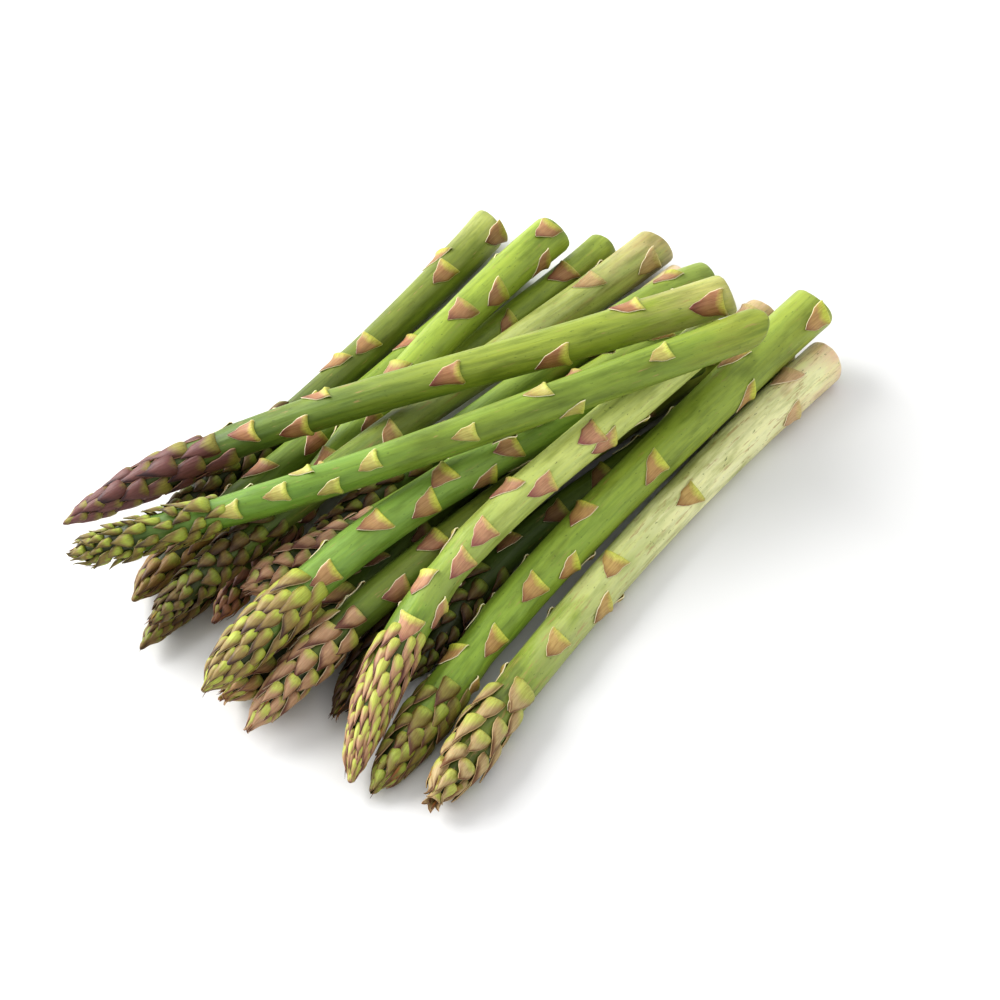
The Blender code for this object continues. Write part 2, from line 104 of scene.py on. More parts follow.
# how each stalk looks: its skin from butt to neck, the root, blade and point of its leaves and of its
# head's scales, and the tone of those scales' edges
# budHalf, budLong: the scales' half width and length from the head's foot to its tip
# gap: how far apart they follow; cut: how far the knife slanted in mm, and towards which turn
# bristles, points: how many dried points, their length and thickness
# ragged: how untidily the scales stand; openEnd: how open the tip stays
# lipTo: how far up a scale its green foot reaches; budsFrom: how far into the head the close scales begin
# husk: how far leaves near the butt take its tone; leafSize: against the others'
# scarFrom: the lower, the more scars
looks = {
    "spear_n": dict(skin=("#dcbc9e", "#e0e0ae", "#8c9e46"),
                    leaf=("#c6ca62", "#b99c62", "#8f6a42"),
                    head=("#b0b45c", "#b39e72", "#74502f"), edge="#cdb486",
                    budHalf=(4.2, 2.3), budLong=(12.5, 9.0), gap=0.95, cut=(2.0, 200),
                    bristles=9, ragged=0.5, husk=0.6, openEnd=0.75, points=(10.5, 0.85), budsFrom=10,
                    scarFrom=0.57),
    "spear_l": dict(skin=("#96a344", "#8c9e42", "#86a240"),
                    leaf=("#c4cc56", "#b6935e", "#8c6044"),
                    head=("#98a448", "#83793e", "#62422f"), edge="#b0926c",
                    budHalf=(4.0, 1.9), budLong=(12.0, 7.0), gap=0.62, cut=(5.0, 100),
                    bristles=5, ragged=0.3, openEnd=0.2, points=(7.5, 0.5), budsFrom=30),
    "spear_p": dict(skin=("#8a9048", "#6c7e34", "#4c5f28"),
                    leaf=("#a3a548", "#8c6a46", "#674330"),
                    head=("#7a8636", "#6a5834", "#4c3226"), edge="#6a4a36",
                    budHalf=(3.2, 1.5), budLong=(9.0, 5.0), gap=0.7, cut=(1.5, 60),
                    bristles=0, ragged=0.2),
    "spear_o": dict(skin=("#c9ae88", "#939a4b", "#66782f"),
                    leaf=("#b3b650", "#a67c60", "#7e5046"),
                    head=("#b2b85c", "#b08e70", "#6a4438"), edge="#d8c8a8",
                    budHalf=(3.8, 2.0), budLong=(12.0, 8.5), gap=0.72, cut=(1.5, 90),
                    bristles=5, ragged=0.3, husk=0.5, lipTo=0.2, openEnd=0.35, budsFrom=8),
    # spear_j lies low in the pile's shadow: its tones carry painted shade, darker than its own colour
    "spear_j": dict(skin=("#76803a", "#5e6c2e", "#434d25"),
                    leaf=("#8a8a40", "#77593c", "#523426"),
                    head=("#6c6a30", "#523c28", "#32221a"), edge="#4a3226",
                    budHalf=(3.0, 1.5), budLong=(11.0, 8.0), gap=0.62, cut=(1.5, 90),
                    bristles=8, ragged=0.6, openEnd=0.3, points=(7.5, 0.45)),
    "spear_e": dict(skin=("#8f9f44", "#8a9c3c", "#62742f"),
                    leaf=("#b2b550", "#a07852", "#7a4c36"),
                    head=("#86903c", "#75603a", "#503a2a"), edge="#6f5238",
                    budHalf=(3.0, 1.4), budLong=(11.0, 7.0), gap=0.68, cut=(2.0, 90),
                    bristles=2, ragged=0.2),
    # spear_q's skin is partly its own dark olive green and partly painted shade, from spear_a lying over it
    "spear_q": dict(skin=("#9fa65e", "#727e33", "#57652b"),
                    leaf=("#b0b24c", "#9c7850", "#765036"),
                    head=("#7c8438", "#6c5a34", "#4c3826"), edge="#6f5238",
                    budHalf=(3.2, 1.5), budLong=(9.0, 5.0), gap=0.7, cut=(5.0, 190),
                    bristles=2, ragged=0.2),
    # spear_i's neck tone is lightened with painted light, to make up for the shadow spear_a casts on it
    "spear_i": dict(skin=("#8da040", "#8da03e", "#7f9a3c"),
                    leaf=("#abae4c", "#a07a56", "#784e3c"),
                    head=("#9a9648", "#92684e", "#623e36"), edge="#8a6152",
                    budHalf=(3.2, 1.5), budLong=(9.0, 5.0), gap=0.7, cut=(3.0, 110),
                    bristles=2, ragged=0.2, lipTo=0.2),
    "spear_m": dict(skin=("#8ea048", "#85983e", "#667e38"),
                    leaf=("#b0b450", "#a37c5a", "#7a503e"),
                    head=("#8c9240", "#7c6440", "#573c36"), edge="#7d5b4a",
                    budHalf=(3.2, 1.5), budLong=(9.0, 5.0), gap=0.7, cut=(2.0, 90),
                    bristles=0, ragged=0.2),
    "spear_d": dict(skin=("#b0a474", "#a2aa66", "#657836"),
                    leaf=("#c0be6c", "#b18e66", "#8a6044"),
                    head=("#7a8436", "#6c5a34", "#46321f"), edge="#54422c",
                    budHalf=(3.2, 1.3), budLong=(9.0, 5.0), gap=0.5, cut=(3.0, 60),
                    bristles=6, ragged=0.7, husk=0.5, openEnd=0.2, scarFrom=0.6),
    "spear_c": dict(skin=("#8fa046", "#7f943a", "#62762f"),
                    leaf=("#aeb04c", "#a57658", "#7e4e3c"),
                    head=("#8a8c3c", "#84693c", "#5a4030"), edge="#9a7c50",
                    budHalf=(3.3, 1.8), budLong=(14.0, 9.0), gap=0.78, cut=(2.0, 90),
                    bristles=0, ragged=0.2, budsFrom=6),
    "spear_h": dict(skin=("#cbb59c", "#8f9f4c", "#617833"),
                    leaf=("#b0b450", "#a87e62", "#7c5246"),
                    head=("#b2b65a", "#ae8c62", "#744a40"), edge="#d2bd98",
                    budHalf=(3.9, 2.0), budLong=(12.0, 8.5), gap=0.72, cut=(3.0, 120),
                    bristles=9, ragged=0.5, husk=0.5, openEnd=0.5, points=(6.5, 0.5)),
    # spear_g's skin tones, the neck most, are partly its own green and partly painted highlight
    "spear_g": dict(skin=("#8c9c50", "#7f9a46", "#7a9a48"),
                    leaf=("#c2c856", "#ab885e", "#825846"),
                    head=("#a8b24e", "#93804f", "#553f36"), edge="#c0b088",
                    budHalf=(3.7, 1.35), budLong=(12.0, 7.0), gap=0.5, cut=(2.0, 90),
                    bristles=2, ragged=0.15, budsFrom=16),
    "spear_f": dict(skin=("#8c9f4a", "#8a9c44", "#6d8537"),
                    leaf=("#b6ba58", "#a67e60", "#7f5446"),
                    head=("#a6a860", "#b08c70", "#7a5248"), edge="#d0b49c",
                    budHalf=(3.8, 2.4), budLong=(9.0, 7.0), gap=0.75, cut=(2.0, 90),
                    bristles=3, ragged=0.3, lipTo=0.22, openEnd=0.3),
    "spear_k": dict(skin=("#c4ce7a", "#c2cc7c", "#7c963e"),
                    leaf=("#cfd16a", "#bb8f70", "#945f56"),
                    head=("#b6bc5c", "#ae8a6a", "#6e463e"), edge="#c4a08a",
                    budHalf=(2.35, 1.15), budLong=(12.5, 8.0), gap=0.37, cut=(2.0, 90),
                    bristles=4, ragged=0.35, points=(7.0, 0.4), lipTo=0.36, budsFrom=38),
    "spear_a": dict(skin=("#aeac6c", "#87953a", "#5c7230"),
                    leaf=("#c0c05c", "#a27654", "#7a483c"),
                    head=("#8a8440", "#6a4440", "#3a2328"), edge="#a8846e",
                    budHalf=(4.4, 2.2), budLong=(13.5, 8.5), gap=0.86, cut=(1.5, 60),
                    bristles=0, ragged=0.05, lipTo=0.14, budsFrom=7),
    "spear_b": dict(skin=("#939e42", "#7c9038", "#6a8c38"),
                    leaf=("#bcc45c", "#b3ac62", "#9c8452"),
                    head=("#98a444", "#7d6f3a", "#4a3c26"), edge="#8f8a48",
                    budHalf=(2.7, 1.3), budLong=(9.0, 5.0), gap=0.42, cut=(8.0, 290),
                    bristles=4, ragged=1.0, openEnd=0.4, leafSize=0.74, budsFrom=14),
}

# how the pile settles, the same rule as the solids follow
pile = dict(middle=(-9.4, 4.5), steps=41, rounds=240, looseFrom=0.7, sink=0.10, home=0.97, stiff=0.95,
            proud=0.8, gap=0.35, press=0.4)


def knotShares(stepAt, knotAt):
    columns = []
    for k in range(4):
        share = np.ones(len(stepAt))
        for m in range(4):
            if m != k:
                share = share * (stepAt - knotAt[m]) / (knotAt[k] - knotAt[m])
        columns.append(share)
    return np.stack(columns, 1)


def laidLine(row, stepAt):
    butt = np.array(row["butt"], float)
    tip = np.array(row["tip"], float)
    run = (tip - butt) * (1, 1, 0)
    run = run / np.linalg.norm(run)
    side = np.array((-run[1], run[0], 0))
    hump = 4 * stepAt * (1 - stepAt)
    line = butt + np.outer(stepAt, tip - butt)
    line = line + np.outer(hump * row["bow"] + np.sin(2 * math.pi * stepAt) * row["sway"], side)
    line[:, 2] += hump * row["sag"]
    return line


# radius of the stalk and of the outside of its head, at a distance from the butt
def outerRadius(row, at, length):
    thickButt = row["thick"][0] / 2
    thickNeck = row["thick"][1] / 2
    headLong, swell, _opening, blunt = row["head"]
    headFrom = length - headLong
    down = np.clip(at / headFrom, 0, 1)
    shaft = thickButt + (thickNeck - thickButt) * down ** 0.8
    along = np.clip((at - headFrom) / headLong, 0, 1)
    belly = 1 + (swell - 1) * np.sin(np.pi / 2 * np.clip(along / 0.45, 0, 1)) ** 2
    closeFrom = 0.32 + 0.30 * blunt
    closing = np.clip((along - closeFrom) / (1 - closeFrom), 0, 1)
    cap = (1 - closing ** (1.7 + 0.6 * blunt)) ** (0.75 - 0.25 * blunt)
    return np.maximum(shaft * belly * cap, 0.9)


# each stalk sinks, is pushed clear of its neighbours and of the table, and bends a little
def settledLines():
    steps = pile["steps"]
    stepAt = np.linspace(0, 1, steps)
    knotAt = np.array((0, 1 / 3, 2 / 3, 1))
    share = knotShares(stepAt, knotAt)
    shareSquared = (share * share).sum(1)
    base = [laidLine(row, stepAt) for row in stalks.values()]
    room = []
    for row, line in zip(stalks.values(), base):
        length = float(np.linalg.norm(np.diff(line, axis=0), axis=1).sum())
        room.append(outerRadius(row, stepAt * length, length) + pile["proud"])
    moved = [np.zeros((4, 3)) for line in base]
    lines = [line.copy() for line in base]
    count = len(base)
    lever = knotAt - 0.5
    for turn in range(pile["rounds"]):
        for i in range(count):
            if turn < pile["looseFrom"] * pile["rounds"]:
                moved[i][:, :2] *= pile["home"]
                moved[i][:, 2] -= pile["sink"]
                middle = moved[i].mean(0)
                tilt = ((moved[i] - middle) * lever[:, None]).sum(0) / (lever ** 2).sum()
                straight = middle + np.outer(lever, tilt)
                moved[i] = straight + (moved[i] - straight) * pile["stiff"]
            lines[i] = base[i] + share @ moved[i]
        for _again in range(2):
            for i in range(count):
                for j in range(i + 1, count):
                    apart = lines[i][:, None] - lines[j][None]
                    distance = np.sqrt((apart ** 2).sum(2))
                    overlap = room[i][:, None] + room[j][None] + pile["gap"] - distance
                    a, b = divmod(int(overlap.argmax()), steps)
                    if overlap[a, b] <= 0:
                        continue
                    push = apart[a, b] / distance[a, b] * min(overlap[a, b], 3) / 2
                    moved[i] += np.outer(share[a] / shareSquared[a], push)
                    moved[j] -= np.outer(share[b] / shareSquared[b], push)
                    lines[i] = base[i] + share @ moved[i]
                    lines[j] = base[j] + share @ moved[j]
            for i in range(count):
                below = room[i] - pile["proud"] - pile["press"] - lines[i][:, 2]
                a = int(below.argmax())
                if below[a] > 0:
                    moved[i][:, 2] += share[a] / shareSquared[a] * below[a]
                    lines[i] = base[i] + share @ moved[i]
    shift = np.array((pile["middle"][0], pile["middle"][1], 0))
    return {name: line - shift for name, line in zip(stalks, lines)}


# the shape of every stalk
stalkForm = dict(headCore=0.84, headCoreFrom=12, oval=0.022, threeSided=0.012, ribs=0.006, knuckle=0.34)

# past: how far scales may run past the stalk's end; least: how far they keep from closing
# closeFrom, closeOver: where they begin to close and over what length, longer on blunt heads
tipForm = dict(past=1.6, pastOpen=2.0, pastFree=3.4, least=0.06, leastFree=0.6, closeFrom=3.5, closeOver=7,
               closeBlunt=5, floor=0.02)


class Stalk:
    def __init__(self, name, line):
        self.name = name
        self.row = stalks[name]
        self.look = looks[name]
        self.line = line
        self.reach = np.concatenate(([0], np.cumsum(np.linalg.norm(np.diff(line, axis=0), axis=1))))
        self.length = float(self.reach[-1])
        self.headLong = self.row["head"][0]
        self.headFrom = self.length - self.headLong
        self.dice = random.Random(self.row["seed"])
        self.phase = [self.dice.uniform(0, 2 * math.pi) for _each in range(4)]
        self.knuckles = []

    def centre(self, at):
        return np.stack([np.interp(at, self.reach, self.line[:, axis]) for axis in range(3)], -1)

    def axes(self, at):
        ahead = self.centre(np.minimum(at + 3, self.length)) - self.centre(np.maximum(at - 3, 0))
        ahead = ahead / np.linalg.norm(ahead, axis=-1, keepdims=True)
        side = np.cross(ahead, (0, 0, 1))
        side = side / np.linalg.norm(side, axis=-1, keepdims=True)
        return ahead, side, np.cross(side, ahead)

    # the stalk without its leaves: a little oval, ribbed, and swollen under each leaf
    def skin(self, at, angle):
        within = np.clip(at, 0, self.length)
        into = np.clip((within - self.headFrom) / stalkForm["headCoreFrom"], 0, 1)
        radius = outerRadius(self.row, within, self.length) * (1 - (1 - stalkForm["headCore"]) * into)
        shaping = stalkForm["oval"] * np.sin(2 * angle + self.phase[0])
        shaping = shaping + stalkForm["threeSided"] * np.sin(3 * angle + self.phase[1] + within / 45)
        shaping = shaping + stalkForm["ribs"] * np.sin(12 * angle + self.phase[2] + 0.5 * np.sin(within / 30))
        radius = radius * (1 + shaping * (1 - into))
        for leafAt, leafTurn, halfWide in self.knuckles:
            off = (angle - leafTurn + math.pi) % (2 * math.pi) - math.pi
            across = off * radius / halfWide
            back = leafAt + 0.6 - within
            hill = np.where(back > 0, np.exp(-back / 5.5), np.exp(-(back / 1.2) ** 2))
            radius = radius + stalkForm["knuckle"] * hill * np.exp(-across ** 4)
        return radius

    # what lies past the end closes over it, unless it stands free
    def place(self, at, angle, height, free=False):
        beyond = np.maximum(at - self.length, 0)
        on = np.clip(at, 0, self.length)
        ahead, side, over = self.axes(on)
        out = side * np.cos(angle)[:, None] + over * np.sin(angle)[:, None]
        openEnd = self.look.get("openEnd", tipForm["least"])
        past = tipForm["pastFree"] if free else tipForm["past"] + tipForm["pastOpen"] * openEnd
        spot = self.centre(on) + ahead * (past * (1 - np.exp(-beyond / past)))[:, None]
        least = tipForm["leastFree"] if free else openEnd
        span = tipForm["closeOver"] + tipForm["closeBlunt"] * self.row["head"][3]
        closing = np.clip(1 - (at - self.length + tipForm["closeFrom"]) / span, least, 1)
        spot = spot + out * ((self.skin(on, angle) + height) * closing)[:, None]
        spot[:, 2] = np.maximum(spot[:, 2], tipForm["floor"])
        return spot * mm


def giveNumbers(mesh, name, values, kind="FLOAT"):
    layer = mesh.attributes.get(name) or mesh.attributes.new(name, kind, "POINT")
    layer.data.foreach_set("vector" if kind == "FLOAT_VECTOR" else "value", np.ravel(values).astype(float))


def takeNumbers(mesh, name):
    values = np.zeros(len(mesh.vertices))
    mesh.attributes[name].data.foreach_get("value", values)
    return values


def spotsOf(mesh):
    spots = np.zeros(len(mesh.vertices) * 3)
    mesh.vertices.foreach_get("co", spots)
    return spots.reshape(-1, 3)


# a straight stalk one unit thick and long, cut into rings, with insets in its butt for the cut flesh
plainStalkForm = dict(sides=48, rings=176, insets=(0.10, 0.18, 0.22, 0.2))


def modelPlainStalk():
    form = plainStalkForm
    bpy.ops.mesh.primitive_cylinder_add(vertices=form["sides"], radius=1, depth=1, location=(0, 0, 0.5),
                                        end_fill_type="NGON")
    stalk = bpy.context.object
    stalk.name = "plainStalk"
    bpy.ops.object.transform_apply(location=True, rotation=True, scale=True)
    bpy.ops.object.mode_set(mode="EDIT")
    bpy.ops.mesh.select_mode(type="EDGE")
    bpy.ops.mesh.select_all(action="DESELECT")
    bpy.ops.object.mode_set(mode="OBJECT")
    spots = spotsOf(stalk.data)
    for edge in stalk.data.edges:
        low, high = edge.vertices
        edge.select = bool(abs(spots[low][2] - spots[high][2]) > 0.5)
    bpy.ops.object.mode_set(mode="EDIT")
    bpy.ops.mesh.subdivide(number_cuts=form["rings"] - 1)
    bpy.ops.mesh.select_mode(type="FACE")
    bpy.ops.mesh.select_all(action="DESELECT")
    bpy.ops.object.mode_set(mode="OBJECT")
    for face in stalk.data.polygons:
        face.select = face.center.z < 0.0001
    bpy.ops.object.mode_set(mode="EDIT")
    for inset in form["insets"]:
        bpy.ops.mesh.inset(thickness=inset)
    bpy.ops.mesh.poke()
    bpy.ops.object.mode_set(mode="OBJECT")
    bpy.ops.object.shade_smooth()
    return stalk


# a leaf as a thin sheet: across from -1 to 1, up from 0 to 1, with its thickness in millimetres
# rows: how far up, half width, lift of the middle, lift of the edge
# horn: how far its root's corners reach back towards the butt
leafForm = {
    "stalkLeaf": dict(across=8, thick=0.34, horn=1.15, rows=(
        (0.00, 0.92, -0.60, -0.60), (0.04, 0.99, 0.80, 0.60), (0.11, 1.00, 0.98, 0.86),
        (0.20, 0.95, 0.62, 0.50), (0.34, 0.88, 0.46, 0.36), (0.50, 0.77, 0.42, 0.28),
        (0.66, 0.58, 0.40, 0.28), (0.83, 0.32, 0.38, 0.32), (1.00, 0.03, 0.40, 0.40))),
    "footLeaf": dict(across=6, thick=0.34, horn=0.8, rows=(
        (0.00, 0.80, -0.60, -0.60), (0.05, 0.96, 1.10, 0.20), (0.14, 1.00, 1.55, 0.40),
        (0.28, 0.92, 1.60, 0.42), (0.44, 0.76, 1.45, 0.48), (0.60, 0.56, 1.20, 0.55),
        (0.76, 0.34, 0.95, 0.62), (0.90, 0.14, 0.80, 0.68), (1.00, 0.03, 0.74, 0.72))),
    "budLeaf": dict(across=6, thick=0.34, horn=0.3, rows=(
        (0.00, 0.50, -0.60, -0.60), (0.05, 0.84, 0.80, 0.00), (0.16, 1.00, 1.40, 0.12),
        (0.34, 0.96, 1.58, 0.25), (0.52, 0.76, 1.40, 0.40), (0.70, 0.48, 1.12, 0.52),
        (0.86, 0.24, 0.88, 0.60), (1.00, 0.04, 0.72, 0.70))),
}


def modelLeaf(name):
    form = leafForm[name]
    rows = form["rows"]
    bpy.ops.mesh.primitive_grid_add(x_subdivisions=form["across"], y_subdivisions=len(rows) - 1, size=2)
    leaf = bpy.context.object
    leaf.name = name
    spots = spotsOf(leaf.data)
    rowOf = np.rint((spots[:, 1] + 1) / 2 * (len(rows) - 1)).astype(int)
    giveNumbers(leaf.data, "leafSide", np.abs(spots[:, 0]))
    giveNumbers(leaf.data, "leafUp", [rows[index][0] for index in rowOf])
    bpy.ops.object.mode_set(mode="EDIT")
    bpy.ops.mesh.select_mode(type="VERT")
    for index, (up, halfWide, _middle, edge) in enumerate(rows):
        bpy.ops.mesh.select_all(action="DESELECT")
        bpy.ops.object.mode_set(mode="OBJECT")
        for vertex, at in zip(leaf.data.vertices, rowOf):
            vertex.select = bool(at == index)
        bpy.ops.object.mode_set(mode="EDIT")
        bpy.ops.transform.resize(value=(halfWide, 1, 1))
        bpy.ops.transform.translate(value=(0, up + 1 - 2 * index / (len(rows) - 1), edge))
    bpy.ops.object.mode_set(mode="OBJECT")
    side = takeNumbers(leaf.data, "leafSide")
    for vertex, at, across in zip(leaf.data.vertices, rowOf, side):
        vertex.co.z += (rows[at][2] - rows[at][3]) * (1 - across ** 2.2)  # the crown of the leaf
    bpy.ops.object.mode_set(mode="EDIT")
    bpy.ops.mesh.select_all(action="SELECT")
    bpy.ops.mesh.extrude_region_move(TRANSFORM_OT_translate=dict(value=(0, 0, -form["thick"])))
    bpy.ops.mesh.select_all(action="SELECT")
    bpy.ops.mesh.normals_make_consistent(inside=False)
    bpy.ops.object.mode_set(mode="OBJECT")
    bpy.ops.object.shade_smooth()
    return leaf


# a dried point, thin and six-sided
def modelBristle():
    bpy.ops.mesh.primitive_cone_add(vertices=6, radius1=1, radius2=0.12, depth=1, location=(0, 0, 0.5))
    bristle = bpy.context.object
    bristle.name = "plainBristle"
    bpy.ops.object.transform_apply(location=True, rotation=True, scale=True)
    bpy.ops.object.mode_set(mode="EDIT")
    bpy.ops.mesh.select_all(action="SELECT")
    bpy.ops.mesh.subdivide(number_cuts=2)
    bpy.ops.object.mode_set(mode="OBJECT")
    bpy.ops.object.shade_smooth()
    return bristle


# sRGB hex to linear, with full alpha
def toLinear(hexText):
    parts = [int(hexText[i:i + 2], 16) / 255 for i in (1, 3, 5)]
    return tuple(p / 12.92 if p <= 0.04045 else ((p + 0.055) / 1.055) ** 2.4 for p in parts) + (1.0,)


# one node: settings are its inputs by name or number, or its own options; links are sockets
def addNode(tree, kind, settings=None, links=None):
    node = tree.nodes.new(kind)
    for key, value in (settings or {}).items():
        if key == "stops":
            ramp = node.color_ramp
            for index, (spot, colour) in enumerate(value):
                element = ramp.elements[index] if index < 2 else ramp.elements.new(spot)
                element.position = spot
                element.color = colour
        elif isinstance(key, int) or (key in node.inputs and not hasattr(node, key)):
            node.inputs[key].default_value = value
        else:
            setattr(node, key, value)
    for key, socket in (links or {}).items():
        tree.links.new(socket, node.inputs[key])
    return node


def grey(value):
    return (value, value, value, 1.0)


def newSkin(name):
    skin = bpy.data.materials.new(name)
    skin.use_nodes = True
    tree = skin.node_tree
    return skin, tree, tree.nodes["Principled BSDF"]


# sizes are per millimetre of stalk
grain = dict(fibre=(1.1, 1.1, 0.035), blotch=(0.16, 0.16, 0.05), speck=(1.5, 1.5, 0.55), fine=(3.2, 3.2, 0.9),
             vein=(2.4, 2.4, 0.16), bundle=(1.3, 1.3, 0.2), scuff=(0.42, 0.42, 0.05), scar=(0.9, 0.9, 0.11))


def grainNoise(tree, place, kind, detail=3.0, rough=0.55):
    spread = addNode(tree, "ShaderNodeMapping", {"Scale": grain[kind]}, {"Vector": place})
    return addNode(tree, "ShaderNodeTexNoise", {"Scale": 1.0, "Detail": detail, "Roughness": rough},
                   {"Vector": spread.outputs["Vector"]}).outputs[0]


# the tone under the scales is painted shade: the stalk there lies in the scales' shadow
stalkTones = dict(shadeUnderScales="#2e3516", streak="#eeeaa0", deep="#a3aa68", dim="#98a560", scar="#a5845a",
                  speck="#4a5a22")


# living stalk skin: waxy and satin, with fine lengthwise fibres, soft blotches, scars and dark specks, and
# past the head's foot a dark painted shade for the stalk hidden under the close scales
def stalkSkin(name, look, headShare):
    skin, tree, shader = newSkin(name + "_waxyStalk")
    butt, mid, neck = [toLinear(tone) for tone in look["skin"]]
    scarFrom = look.get("scarFrom", 0.64)
    place = addNode(tree, "ShaderNodeAttribute", {"attribute_name": "stalkPlace"}).outputs["Vector"]
    along = addNode(tree, "ShaderNodeAttribute", {"attribute_name": "alongStalk"}).outputs["Fac"]
    blotch = grainNoise(tree, place, "blotch", 3.0)
    fibre = grainNoise(tree, place, "fibre", 4.0, 0.6)
    speck = grainNoise(tree, place, "speck", 2.0)
    fine = grainNoise(tree, place, "fine", 2.0)
    drift = addNode(tree, "ShaderNodeMath", {"operation": "MULTIPLY_ADD", 1: 0.5, 2: -0.25}, {0: blotch})
    spot = addNode(tree, "ShaderNodeMath", {"operation": "ADD"}, {0: along, 1: drift.outputs[0]})
    # past the head's foot the skin turns to painted shade, as under the close scales
    body = addNode(tree, "ShaderNodeValToRGB",
                   {"stops": ((0.02, butt), (0.16, mid), (0.40, mid), (headShare - 0.04, neck),
                              (headShare + 0.14, toLinear(stalkTones["shadeUnderScales"])))},
                   {"Fac": spot.outputs[0]})
    streak = addNode(tree, "ShaderNodeValToRGB", {"stops": ((0.42, grey(0)), (0.74, grey(0.32)))},
                     {"Fac": fibre})
    lighter = addNode(tree, "ShaderNodeMix",
                      {"data_type": "RGBA", "blend_type": "SOFT_LIGHT", 7: toLinear(stalkTones["streak"])},
                      {0: streak.outputs["Color"], 6: body.outputs["Color"]})
    deeper = addNode(tree, "ShaderNodeValToRGB", {"stops": ((0.30, grey(0.6)), (0.52, grey(0)))},
                     {"Fac": blotch})
    shaded = addNode(tree, "ShaderNodeMix",
                     {"data_type": "RGBA", "blend_type": "MULTIPLY", 7: toLinear(stalkTones["deep"])},
                     {0: deeper.outputs["Color"], 6: lighter.outputs[2]})
    dim = addNode(tree, "ShaderNodeValToRGB", {"stops": ((0.34, grey(0.42)), (0.52, grey(0)))},
                  {"Fac": grainNoise(tree, place, "scuff", 4.0, 0.65)})
    dimmed = addNode(tree, "ShaderNodeMix",
                     {"data_type": "RGBA", "blend_type": "MULTIPLY", 7: toLinear(stalkTones["dim"])},
                     {0: dim.outputs["Color"], 6: shaded.outputs[2]})
    scar = addNode(tree, "ShaderNodeValToRGB", {"stops": ((scarFrom, grey(0)), (scarFrom + 0.08, grey(0.6)))},
                   {"Fac": grainNoise(tree, place, "scar", 3.0, 0.7)})
    scarred = addNode(tree, "ShaderNodeMix", {"data_type": "RGBA", 7: toLinear(stalkTones["scar"])},
                      {0: scar.outputs["Color"], 6: dimmed.outputs[2]})
    specks = addNode(tree, "ShaderNodeValToRGB", {"stops": ((0.66, grey(0)), (0.74, grey(0.6)))},
                     {"Fac": speck})
    spotted = addNode(tree, "ShaderNodeMix", {"data_type": "RGBA", 7: toLinear(stalkTones["speck"])},
                      {0: specks.outputs["Color"], 6: scarred.outputs[2]})
    sheen = addNode(tree, "ShaderNodeMapRange", {"To Min": 0.34, "To Max": 0.52}, {"Value": fibre})
    heights = addNode(tree, "ShaderNodeMath", {"operation": "MULTIPLY_ADD", 1: 0.25}, {0: fine, 2: fibre})
    bump = addNode(tree, "ShaderNodeBump", {"Strength": 0.45, "Distance": 0.0004},
                   {"Height": heights.outputs[0]})
    tree.links.new(spotted.outputs[2], shader.inputs["Base Color"])
    tree.links.new(sheen.outputs[0], shader.inputs["Roughness"])
    tree.links.new(bump.outputs["Normal"], shader.inputs["Normal"])
    shader.inputs["Subsurface Weight"].default_value = 0.10
    shader.inputs["Subsurface Scale"].default_value = 0.002
    shader.inputs["Subsurface Radius"].default_value = (1.0, 0.9, 0.3)
    shader.inputs["Specular IOR Level"].default_value = 0.38
    shader.inputs["Coat Weight"].default_value = 0.06
    shader.inputs["Coat Roughness"].default_value = 0.35
    return skin


# the side tone is painted shade, for the sides of a scale that curve away from the light
leafTones = dict(vein="#a8926a", sideShade="#a07c5e", paleRim="#efe6c4", husk="#c8b48e")

# wander: how much the lip's reach differs between scales; sidewards: how far it draws back at the sides
# and the last, how much painted shade darkens the sides, where they curve away from the light
leafFinish = dict(paperyScale=dict(wander=0.16, sidewards=0.12, sideShading=0.15),
                  budScale=dict(wander=0.40, sidewards=0.26, sideShading=0.55))
